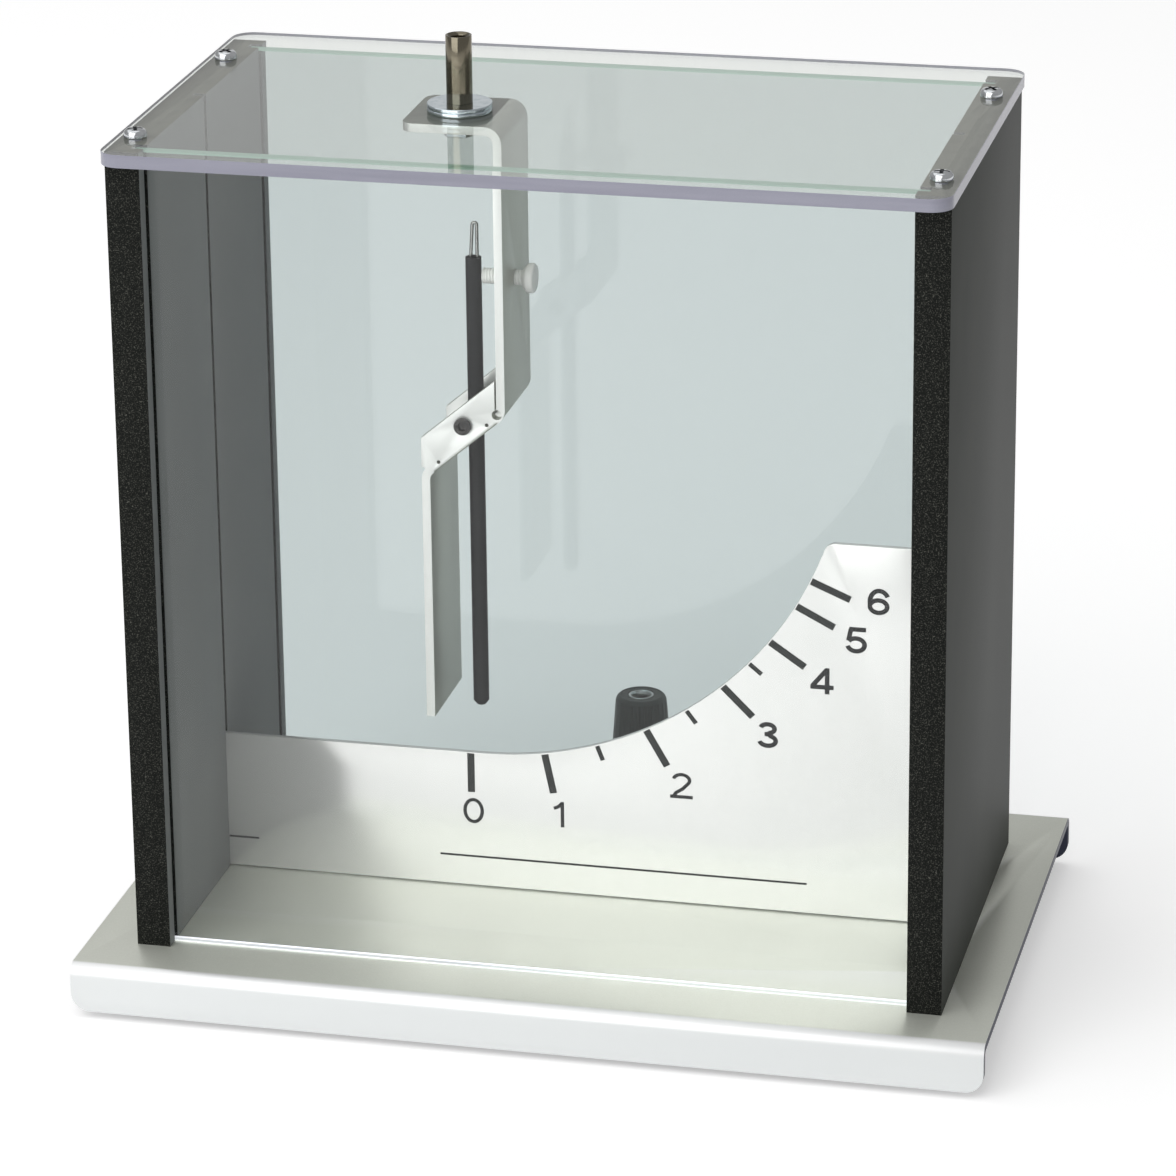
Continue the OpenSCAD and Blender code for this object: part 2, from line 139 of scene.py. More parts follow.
class Recipe:
    """The node tree of a material or of the world, built one node at a time."""

    def __init__(self, name: str, world: bool = False) -> None:
        """Starts an empty material of that name, or an empty world."""
        self.owner = bpy.data.worlds.new(name) if world else bpy.data.materials.new(name)
        self.owner.use_nodes = True
        self.tree = self.owner.node_tree
        self.tree.nodes.clear()
        kind = "ShaderNodeOutputWorld" if world else "ShaderNodeOutputMaterial"
        self.output = self.tree.nodes.new(kind)

    def node(self, kind: str, settings: dict, inputs: dict) -> bpy.types.Node:
        """Adds any node.

        Args:
            kind: The node's Blender type.
            settings: Properties that are set before the inputs.
            inputs: Values, sockets or signals by socket name or number.

        Returns:
            The new node.
        """
        made = self.tree.nodes.new(kind)
        for key, value in settings.items():
            setattr(made, key, value)
        for key, value in inputs.items():
            if isinstance(value, Signal):
                value = value.socket
            if isinstance(value, bpy.types.NodeSocket):
                self.tree.links.new(value, made.inputs[key])
            elif isinstance(value, tuple) and made.inputs[key].type == "RGBA":
                made.inputs[key].default_value = (*value, 1.0)
            else:
                made.inputs[key].default_value = value
        return made

    def math(self, operation: str, left: Number, right: Number, clamp: bool = False) -> Signal:
        """Adds a Math node and returns its result."""
        settings = {"operation": operation, "use_clamp": clamp}
        made = self.node("ShaderNodeMath", settings, {0: left, 1: right})
        return Signal(self, made.outputs[0])

    def place(self) -> bpy.types.NodeSocket:
        """The point on the surface in object coordinates, in metres."""
        return self.node("ShaderNodeTexCoord", {}, {}).outputs["Object"]

    def noise(self, per_mm: float, grain: Point = (1.0, 1.0, 1.0), detail: float = 2.0) -> Signal:
        """Noise with about per_mm patches in a millimetre, stretched by grain."""
        scale = tuple(share * per_mm / MM for share in grain)
        spot = self.node("ShaderNodeMapping", {"vector_type": "POINT"},
                         {"Vector": self.place(), "Scale": scale}).outputs[0]
        inputs = {"Vector": spot, "Scale": 1.0, "Detail": detail, "Roughness": 0.6}
        return Signal(self, self.node("ShaderNodeTexNoise", {}, inputs).outputs[0])

    def normal(self, axis: int) -> Signal:
        """One part of the surface's normal in the object's frame, from -1 to 1."""
        normal = self.node("ShaderNodeTexCoord", {}, {}).outputs["Normal"]
        return Signal(self, self.node("ShaderNodeSeparateXYZ", {}, {0: normal}).outputs[axis])

    def along(self, axis: int) -> Signal:
        """One object coordinate of the surface, in millimetres."""
        parts = self.node("ShaderNodeSeparateXYZ", {}, {0: self.place()})
        return Signal(self, parts.outputs[axis]) * (1.0 / MM)

    def facing(self, axis: int) -> Signal:
        """How squarely the surface faces along an axis of the object, from 0 to 1."""
        return abs(self.normal(axis))

    def blend(self, factor: Number, low: object, high: object) -> bpy.types.NodeSocket:
        """Mixes two colours: low where factor is 0 and high where it is 1."""
        settings = {"data_type": "RGBA", "clamp_factor": True}
        made = self.node("ShaderNodeMix", settings, {0: factor, 6: low, 7: high})
        return made.outputs[2]

    def bump(self, height: Signal, depth_mm: float, strength: float) -> bpy.types.NodeSocket:
        """A normal that follows a height of that depth."""
        inputs = {"Height": height, "Distance": depth_mm * MM, "Strength": strength}
        return self.node("ShaderNodeBump", {}, inputs).outputs[0]

    def principled(self, inputs: dict) -> bpy.types.Node:
        """Adds the Principled shader with these inputs."""
        return self.node("ShaderNodeBsdfPrincipled", {}, inputs)

    def path(self, *outputs: str) -> list[Signal]:
        """Outputs of the Light Path node as signals."""
        found = self.node("ShaderNodeLightPath", {}, {}).outputs
        return [Signal(self, found[output]) for output in outputs]

    def direct(self, mirrors: float = 0.5) -> Signal:
        """1 for rays from the camera, straight, through clear sheets or off a few mirrors."""
        camera, passed, shiny, rough, mirrored = self.path(
            "Is Camera Ray", "Is Transmission Ray", "Is Glossy Ray", "Diffuse Depth",
            "Glossy Depth")
        seen = self.math("MAXIMUM", self.math("MAXIMUM", camera, passed), shiny)
        return seen * (rough < 0.5) * (mirrored < mirrors)

    def finish(self, shader: bpy.types.Node) -> bpy.types.ID:
        """Sends a shader to the output and returns the material or world."""
        self.tree.links.new(shader.outputs[0], self.output.inputs["Surface"])
        return self.owner


@dataclass(frozen=True)
class SatinSheet:
    """Anodised aluminium sheet: fine sanded grain and faint brushing, with optional painted
    light: a tone of its own on faces that look along Y, a painted highlight on the folds, and
    painted shade that makes the cut ends along X, the aprons' inward faces and the undersides
    dark.
    """

    name: str
    colour: Colour
    shade: Colour
    grain: Grain
    roughness: float = 0.34
    metallic: float = 0.85
    brushing: float = 0.3
    relief: float = 0.3
    # Painted shade: near-black colour for the cut ends along X, the aprons' inward faces and the
    # undersides.
    ends: Optional[Colour] = None
    # Painted light: a tone for faces that look along Y, lighter or darker than the rest as light
    # falls on them.
    front: Optional[Colour] = None
    # Painted highlight on the folds, whose faces look partly along Y.
    fold_highlight: Optional[Colour] = None

    def make(self) -> bpy.types.Material:
        """Builds the material."""
        r = Recipe(self.name)
        lines = r.noise(4.0, self.grain.value, 3.0) * 0.5 + r.noise(1.1, self.grain.value) * 0.5
        sand = r.noise(3.2, detail=3.0)
        clouds = r.noise(0.03, detail=3.0)
        share = self.brushing
        tone = lines * share + sand * (0.75 - share) + clouds * 0.25
        colour = r.blend(tone.ramped(0.32, 0.68), self.shade, self.colour)
        across = r.facing(1)
        # Painted light: faces that look along Y take the front tone.
        if self.front is not None:
            colour = r.blend(across > 0.7, colour, self.front)
        # Painted highlight on the folds between the top and the faces along Y.
        if self.fold_highlight is not None:
            fold_highlight_mask = across.ramped(0.08, 0.25) * (1.0 - across.ramped(0.9, 0.99))
            colour = r.blend(fold_highlight_mask, colour, self.fold_highlight)
        # Painted shade: the cut ends along X, the aprons' inward faces and the undersides turn
        # dark.
        if self.ends is not None:
            below = r.math("MAXIMUM", r.along(1) * r.normal(1) < -30.0, r.normal(2) < -0.5)
            colour = r.blend(r.math("MAXIMUM", r.facing(0) > 0.7, below), colour, self.ends)
        return r.finish(r.principled({
            "Base Color": colour,
            "Metallic": self.metallic,
            "Roughness": (sand - 0.5) * 0.12 + (clouds - 0.5) * 0.08 + self.roughness,
            "Normal": r.bump(lines * share + sand * (1.0 - share), 0.02, self.relief),
        }))


@dataclass(frozen=True)
class DyedBoardPaintedLight:
    """Fibre board dyed through: pressed grey faces and rough, nearly black sawn edges.

    Painted light: the face along +X (turned 1) or -X (turned -1), towards the middle of the case,
    is paler, and so are the sawn ends that look up or down.
    """

    name: str
    turned: float
    # Painted light: the paler tones of the face towards the middle of the case stand in for the
    # light that falls on it.
    lit_inner: Colour = (0.235, 0.246, 0.246)
    lit_inner_dark: Colour = (0.195, 0.206, 0.206)
    face: Colour = (0.052, 0.056, 0.050)
    face_dark: Colour = (0.038, 0.042, 0.038)
    edge: Colour = (0.004, 0.005, 0.004)
    # Painted light and reflection: the sawn ends that look up or down are painted pale, for the
    # light from above and the lid's reflection on the top end.
    end: Colour = (0.23, 0.225, 0.20)
    fleck: Colour = (0.22, 0.22, 0.19)

    def make(self) -> bpy.types.Material:
        """Builds the material."""
        r = Recipe(self.name)
        on_edge = r.facing(0) < 0.6
        dust = r.noise(2.4, detail=4.0)
        clouds = r.noise(0.04, detail=2.0)
        flecks = r.noise(3.4, detail=2.0).ramped(0.54, 0.70)
        bright = r.noise(1.9, detail=3.0).ramped(0.64, 0.74)
        pits = r.noise(1.2, detail=4.0)
        tone = (dust * 0.6 + clouds * 0.4).ramped(0.34, 0.66)
        # Painted light: the face that looks towards the middle of the case takes the paler tones.
        lit_face_mask = r.normal(0) * self.turned > 0.5
        face = r.blend(lit_face_mask, r.blend(tone, self.face_dark, self.face),
                       r.blend(tone, self.lit_inner_dark, self.lit_inner))
        # Painted light: sawn ends that look up or down take the pale end colour.
        dark = r.blend(r.facing(2) > 0.7, self.edge, self.end)
        sawn = r.blend((flecks * 0.34 + bright * 0.4).clipped(), dark, self.fleck)
        rough = on_edge * (pits * 0.2 + 0.7) + (1.0 - on_edge) * (dust * 0.14 + 0.5)
        height = on_edge * (pits * 0.7 + flecks * 0.3) + (1.0 - on_edge) * dust * 0.08
        return r.finish(r.principled({
            "Base Color": r.blend(on_edge, face, sawn),
            "Roughness": rough,
            "Specular IOR Level": 0.17,
            "Normal": r.bump(height, 0.12, 0.5),
        }))


@dataclass(frozen=True)
class ClearSheet:
    """A flat clear sheet that bends light, tints it and lets the lamps through."""

    name: str
    tint: Colour
    lamp_tint: Colour
    ior: float

    def make(self) -> bpy.types.Material:
        """Builds the material."""
        r = Recipe(self.name)
        clear = r.principled({
            "Base Color": self.tint,
            "Roughness": 0.0,
            "IOR": self.ior,
            "Transmission Weight": 1.0,
        })
        opened = r.node("ShaderNodeBsdfTransparent", {}, {"Color": self.lamp_tint})
        passing = r.math("MAXIMUM", *r.path("Is Shadow Ray", "Is Diffuse Ray"))
        return r.finish(r.node("ShaderNodeMixShader", {}, {
            0: passing, 1: clear.outputs[0], 2: opened.outputs[0],
        }))


@dataclass(frozen=True)
class CutEdge:
    """The cut and ground edge of a clear sheet in the sheet's own colour, with an optional
    painted glow in that colour.
    """

    name: str
    colour: Colour
    deep: Colour
    roughness: float = 0.28
    # Strength of the painted glow, an emission that stands in for light; the edge is no lamp.
    glow: float = 0.0

    def make(self) -> bpy.types.Material:
        """Builds the material."""
        r = Recipe(self.name)
        bands = r.noise(0.4, (0.05, 0.05, 1.0), 2.0)
        grit = r.noise(4.0, detail=2.0)
        tone = (bands * 0.6 + grit * 0.4).ramped(0.3, 0.7)
        colour = r.blend(tone, self.deep, self.colour)
        return r.finish(r.principled({
            "Base Color": colour,
            "Emission Color": colour,
            # Painted glow: emission in the edge's own colour.
            "Emission Strength": self.glow,
            "Roughness": grit * 0.14 + self.roughness,
            "IOR": 1.5,
            "Normal": r.bump(grit, 0.02, 0.3),
        }))


@dataclass(frozen=True)
class PlatedMetal:
    """Turned or pressed metal with a plated skin, fine tool marks and small stains."""

    name: str
    colour: Colour
    stain: Colour
    roughness: float = 0.2
    marks: Grain = Grain.ALONG_X
    marks_per_mm: float = 6.0
    staining: float = 0.7

    def make(self) -> bpy.types.Material:
        """Builds the material."""
        r = Recipe(self.name)
        lines = r.noise(self.marks_per_mm, self.marks.value, 2.0)
        stains = r.noise(0.5, detail=4.0).ramped(0.45, 0.75)
        return r.finish(r.principled({
            "Base Color": r.blend(stains * self.staining, self.colour, self.stain),
            "Metallic": 1.0,
            "Roughness": lines * 0.1 + stains * 0.12 + (self.roughness - 0.05),
            "Normal": r.bump(lines, 0.01, 0.25),
        }))


@dataclass(frozen=True)
class Moulded:
    """Moulded plastic or rubber with a fine skin and slight flow marks."""

    name: str
    colour: Colour
    worn: Colour
    roughness: float = 0.4
    skin_per_mm: float = 7.0
    depth_mm: float = 0.02
    dust: float = 0.0
    shine: float = 0.5

    def make(self) -> bpy.types.Material:
        """Builds the material."""
        r = Recipe(self.name)
        skin = r.noise(self.skin_per_mm, detail=2.0)
        flow = r.noise(0.25, (1.0, 1.0, 0.4), 3.0)
        specks = r.noise(3.0, detail=1.0).ramped(0.68, 0.78) * self.dust
        tone = ((flow * 0.7 + skin * 0.3).ramped(0.35, 0.7) + specks).clipped()
        return r.finish(r.principled({
            "Base Color": r.blend(tone, self.colour, self.worn),
            "Roughness": skin * 0.12 + flow * 0.08 + (self.roughness - 0.1),
            "Specular IOR Level": self.shine,
            "Normal": r.bump(skin, self.depth_mm, 0.4),
        }))


@dataclass(frozen=True)
class PrintInk:
    """Screen-printed ink, slightly thin and uneven on the brushed sheet."""

    name: str
    colour: Colour
    thin: Colour

    def make(self) -> bpy.types.Material:
        """Builds the material."""
        r = Recipe(self.name)
        mottle = r.noise(2.5, detail=4.0)
        return r.finish(r.principled({
            "Base Color": r.blend(mottle.ramped(0.4, 0.8), self.colour, self.thin),
            "Roughness": mottle * 0.2 + 0.45,
            "Specular IOR Level": 0.25,
            "Normal": r.bump(mottle, 0.01, 0.3),
        }))


class Palette:
    """All the finishes of the electroscope, made once."""

    def __init__(self) -> None:
        """Makes every material."""
        # Painted shade on the ends and undersides, painted light on the faces along Y and a
        # painted highlight on the folds.
        self.base = SatinSheet(
            "base_sheet_satin_painted_light", (0.84, 0.86, 0.78), (0.76, 0.78, 0.70), Grain.ALONG_X,
            roughness=0.42, metallic=0.55, brushing=0.1, relief=0.2, ends=(0.03, 0.035, 0.06),
            front=(0.77, 0.79, 0.79), fold_highlight=(0.97, 0.98, 0.98)).make()
        self.scale = SatinSheet(
            "scale_sheet_brushed", (0.90, 0.90, 0.89), (0.83, 0.84, 0.82), Grain.ALONG_Z,
            roughness=0.15, metallic=0.58, brushing=0.6, relief=0.8).make()
        # Painted light: the bracket's faces that look along Y are painted much paler than the
        # rest.
        self.bracket = SatinSheet(
            "bracket_sheet_satin_painted_light", (0.51, 0.525, 0.475), (0.44, 0.455, 0.405), Grain.ALONG_Z,
            roughness=0.40, metallic=0.75, brushing=0.5, relief=0.4,
            front=(0.76, 0.78, 0.76)).make()
        self.boards = {side: DyedBoardPaintedLight(f"dyed_board_painted_light_{side}", turned).make()
                       for side, turned in (("left", 1.0), ("right", -1.0))}
        self.front_glass = ClearSheet(
            "front_glass", (0.975, 0.982, 0.978), (0.95, 0.955, 0.955), ior=1.33).make()
        self.rear_glass = ClearSheet(
            "rear_glass", (0.545, 0.61, 0.61), (0.74, 0.78, 0.79), ior=1.45).make()
        # Painted highlight and glow: the pane feet are near white and shine by emission.
        self.glass_foot_painted_glow = CutEdge(
            "glass_foot_painted_glow", (0.97, 0.98, 1.0), (0.78, 0.81, 0.92), roughness=0.3,
            glow=0.6).make()
        self.glass_edge = CutEdge("glass_edge", (0.40, 0.62, 0.53), (0.28, 0.46, 0.38)).make()
        self.lid = ClearSheet(
            "clear_lid", (0.93, 0.96, 0.93), (0.93, 0.95, 0.93), ior=1.49).make()
        self.lid_edge = CutEdge(
            "clear_lid_edge", (0.33, 0.33, 0.40), (0.25, 0.25, 0.31), roughness=0.16).make()
        self.zinc = PlatedMetal(
            "bright_zinc", (0.64, 0.71, 0.75), (0.46, 0.53, 0.57), roughness=0.13).make()
        self.chrome = PlatedMetal(
            "chrome_screw", (0.70, 0.72, 0.74), (0.52, 0.54, 0.56), roughness=0.1).make()
        # Painted shade: near-black metal for the walls and floor of the cross recess.
        self.recess = PlatedMetal(
            "screw_recess_painted_shade", (0.05, 0.052, 0.055), (0.025, 0.025, 0.027), roughness=0.35).make()
        self.ring = PlatedMetal(
            "polished_ring", (0.92, 0.93, 0.93), (0.78, 0.80, 0.80), roughness=0.14).make()
        self.nickel = PlatedMetal(
            "dark_nickel", (0.20, 0.18, 0.135), (0.12, 0.105, 0.075), roughness=0.10,
            marks=Grain.ALONG_Z, marks_per_mm=3.0, staining=0.35).make()
        self.black_steel = PlatedMetal(
            "black_oxide", (0.045, 0.045, 0.045), (0.09, 0.085, 0.08), roughness=0.36).make()
        self.bare_steel = PlatedMetal(
            "bright_wire", (0.36, 0.37, 0.36), (0.22, 0.23, 0.22), roughness=0.2,
            marks=Grain.ALONG_Z).make()
        self.sleeve = Moulded(
            "sleeve_black", (0.008, 0.009, 0.010), (0.020, 0.021, 0.023), roughness=0.6,
            skin_per_mm=5.0, depth_mm=0.04, dust=0.5, shine=0.15).make()
        self.nylon = Moulded(
            "natural_nylon", (0.88, 0.90, 0.87), (0.94, 0.95, 0.93), roughness=0.35,
            skin_per_mm=6.0, depth_mm=0.01).make()
        self.cap = Moulded(
            "terminal_plastic", (0.013, 0.019, 0.017), (0.028, 0.036, 0.033), roughness=0.36,
            skin_per_mm=6.0, depth_mm=0.02, dust=0.25, shine=0.3).make()
        self.rubber = Moulded(
            "foot_rubber", (0.020, 0.020, 0.020), (0.035, 0.034, 0.033), roughness=0.7,
            skin_per_mm=4.0, depth_mm=0.05, dust=0.3).make()
        self.tick_ink = PrintInk("tick_ink", (0.0145, 0.018, 0.017), (0.028, 0.031, 0.03)).make()
        self.digit_ink = PrintInk("digit_ink", (0.010, 0.011, 0.012),
                                  (0.022, 0.023, 0.024)).make()


def scaled(bm: bmesh.types.BMesh) -> None:
    """Turns a mesh drawn in millimetres to metres."""
    bmesh.ops.scale(bm, vec=(MM, MM, MM), verts=bm.verts)


def settle(bm: bmesh.types.BMesh, name: str, body: Body,
           materials: Sequence[bpy.types.Material], replaces: Sequence[str] = (),
           smooth_deg: float = 32.0) -> bpy.types.Object:
    """Makes a mesh in metres into a finished piece on its body.

    Args:
        bm: The piece's mesh in the model's frame, in metres; it is freed here.
        name: The piece's name.
        body: The body it rides on.
        materials: Its materials, by face material number.
        replaces: The CAD nodes it stands for.
        smooth_deg: Edges sharper than this stay crisp.

    Returns:
        The new object.
    """
    mesh = bpy.data.meshes.new(name)
    bm.to_mesh(mesh)
    bm.free()
    for material in materials:
        mesh.materials.append(material)
    mesh.shade_smooth()
    mesh.set_sharp_from_angle(angle=math.radians(smooth_deg))
    made = bpy.data.objects.new(name, mesh)
    bpy.context.scene.collection.objects.link(made)
    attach(made, body.value)
    if replaces:
        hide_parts(*replaces)
    LOG.info("%s: %d faces on %s", name, len(mesh.polygons), body.value)
    return made


def dress(node: str, material: bpy.types.Material) -> None:
    """Gives a CAD node that is shown as it is its finish."""
    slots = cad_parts[node].data.materials
    slots.clear()
    slots.append(material)
    LOG.info("%s: dressed in %s", node, material.name)


def eased(node: str, width: float, segments: int = 2) -> bmesh.types.BMesh:
    """Copies a CAD node, welds it and eases the edges that turn by over SHARP_DEG.

    Args:
        node: The CAD node.
        width: Width of the eased edges in millimetres.
        segments: Faces across an eased edge.

    Returns:
        The copy's mesh, in metres.
    """
    bm = bmesh.new()
    bm.from_mesh(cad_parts[node].data)
    bmesh.ops.remove_doubles(bm, verts=bm.verts, dist=WELD_MM * MM)
    bmesh.ops.dissolve_limit(bm, angle_limit=math.radians(FLAT_DEG), verts=bm.verts,
                             edges=bm.edges, use_dissolve_boundaries=False)
    limit = math.radians(SHARP_DEG)
    sharp = [e for e in bm.edges if len(e.link_faces) == 2 and e.calc_face_angle(0.0) > limit]
    bmesh.ops.bevel(bm, geom=sharp, offset=width * MM, offset_type="OFFSET", segments=segments,
                    profile=0.5, affect="EDGES", material=-1, clamp_overlap=True)
    return bm


def lathe(profile: Sequence[tuple[float, float]], steps: int = 48,
          into: Optional[bmesh.types.BMesh] = None) -> bmesh.types.BMesh:
    """Turns a profile round the Z axis.

    Args:
        profile: Radius and height of each corner in millimetres, both ends on
            the axis for a solid piece, or the first corner again for a ring.
        steps: Faces in a full turn.
        into: The mesh to add to, or None for a new one.

    Returns:
        The mesh, in millimetres.
    """
    bm = into or bmesh.new()
    before = set(bm.verts)
    closed = profile[0] == profile[-1]
    points = profile[:-1] if closed else profile
    verts = [bm.verts.new((radius, 0.0, height)) for radius, height in points]
    ends = verts[1:] + verts[:1] if closed else verts[1:]
    edges = [bm.edges.new(pair) for pair in zip(verts, ends)]
    bmesh.ops.spin(bm, geom=verts + edges, cent=(0, 0, 0), axis=(0, 0, 1),
                   angle=2 * math.pi, steps=steps, use_merge=True)
    fresh = [v for v in bm.verts if v not in before]
    bmesh.ops.remove_doubles(bm, verts=fresh, dist=0.0005)
    bmesh.ops.recalc_face_normals(bm, faces=bm.faces)
    return bm


def moved(bm: bmesh.types.BMesh, at: Point) -> bmesh.types.BMesh:
    """Moves a whole mesh drawn in millimetres and turns it to metres."""
    bmesh.ops.translate(bm, vec=at, verts=bm.verts)
    scaled(bm)
    return bm


def box(bm: bmesh.types.BMesh, low: Point, high: Point) -> list[bmesh.types.BMVert]:
    """Adds a box between two corners and returns its vertices."""
    verts = bmesh.ops.create_cube(bm, size=1.0)["verts"]
    size = [b - a for a, b in zip(low, high)]
    middle = [(a + b) / 2 for a, b in zip(low, high)]
    bmesh.ops.scale(bm, vec=size, verts=verts)
    bmesh.ops.translate(bm, vec=middle, verts=verts)
    return verts


def arc(x: float, z: float, rx: float, rz: float, start: float, end: float,
        steps: int = 24) -> list[tuple[float, float]]:
    """Points of an arc of an ellipse, from one angle in degrees to another."""
    angles = [math.radians(start + (end - start) * i / steps) for i in range(steps + 1)]
    return [(x + rx * math.cos(a), z + rz * math.sin(a)) for a in angles]


def digit_lines(number: int, h: float) -> list[tuple[list[tuple[float, float]], bool]]:
    """Centre lines of a plain digit of height 1.

    Args:
        number: The digit, 0 to 6.
        h: Half of the width of the line.

    Returns:
        The points of each line, and whether the line closes on itself.
    """
    top = 1.0 - h
    if number == 0:
        return [(arc(0.31, 0.5, 0.30 - h, 0.5 - h, 0.0, 360.0, 40)[:-1], True)]
    if number == 1:
        return [([(0.36, 0.0), (0.36, 1.0)], False),
                ([(0.13, 0.73), (0.22, 0.78), (0.30, 0.86), (0.345, 0.95)], False)]
    if number == 2:
        bow = arc(0.31, 0.72, 0.28 - h, 0.28 - h, 170.0, -38.0)
        return [(bow + [(0.34, 0.38), (0.16, 0.22), (h + 0.03, h)], False),
                ([(0.0, h), (0.61, h)], False)]
    if number == 3:
        return [(arc(0.30, 0.745, 0.27 - h, 0.255 - h, 168.0, -85.0), False),
                ([(0.22, 0.53), (0.34, 0.53)], False),
                (arc(0.30, 0.28, 0.30 - h, 0.28 - h, 82.0, -170.0), False)]
    if number == 4:
        return [([(0.44, 0.0), (0.44, 1.0)], False), ([(0.42, 0.92), (0.05, 0.29)], False),
                ([(0.0, 0.26), (0.61, 0.26)], False)]
    if number == 5:
        return [([(0.12, top), (0.56, top)], False), ([(0.165, top), (0.10, 0.47)], False),
                (arc(0.30, 0.33, 0.31 - h, 0.33 - h, 148.0, -168.0), False)]
    return [(arc(0.31, 0.32, 0.31 - h, 0.32 - h, 0.0, 360.0, 40)[:-1], True),
            (arc(0.33, 0.5, 0.33 - h, 0.5 - h, 195.0, 28.0), False)]


def ribbon(bm: bmesh.types.BMesh, points: Sequence[tuple[float, float]], width: float,
           back: float, front: float, closed: bool) -> None:
    """Adds a flat line of even width that stands upright, along X and Z.

    Args:
        bm: The mesh to add to, in millimetres.
        points: The centre line as pairs of X and Z.
        width: Width of the line.
        back: Y of its back.
        front: Y of its face.
        closed: Whether the last point joins the first.
    """
    count = len(points)
    rows = []
    for i, here in enumerate(points):
        before = points[i - 1] if i or closed else None
        after = points[(i + 1) % count] if i < count - 1 or closed else None
        ways = [Vector(b) - Vector(a) for a, b in ((before, here), (here, after)) if a and b]
        way = sum((w.normalized() for w in ways), Vector((0.0, 0.0))).normalized()
        reach = width / 2 / max(0.6, way.dot(ways[0].normalized()))
        side = Vector((-way.y, way.x)) * reach
        rows.append([bm.verts.new((here[0] + s * side.x, y, here[1] + s * side.y))
                     for s, y in ((-1, front), (1, front), (1, back), (-1, back))])
    faces = []
    for i in range(count if closed else count - 1):
        low, high = rows[i], rows[(i + 1) % count]
        for k in range(4):
            faces.append(bm.faces.new((low[k], low[(k + 1) % 4], high[(k + 1) % 4], high[k])))
    if not closed:
        faces += [bm.faces.new(rows[0]), bm.faces.new(rows[-1][::-1])]
    bmesh.ops.recalc_face_normals(bm, faces=faces)


@dataclass
class BaseAssembly:
    """The folded base sheet on its rubber feet, with the screws under the boards."""

    palette: Palette
    edge: float = 0.25
    foot_edge: float = 0.7

    def build(self) -> None:
        """Builds and dresses the base."""
        sheet = eased("base_plate", self.edge)
        settle(sheet, "base_sheet", Body.CASE, [self.palette.base], ["base_plate"])
        feet = eased("rubber_feet", self.foot_edge, 3)
        settle(feet, "feet", Body.CASE, [self.palette.rubber], ["rubber_feet"])
        dress("board_screws", self.palette.zinc)


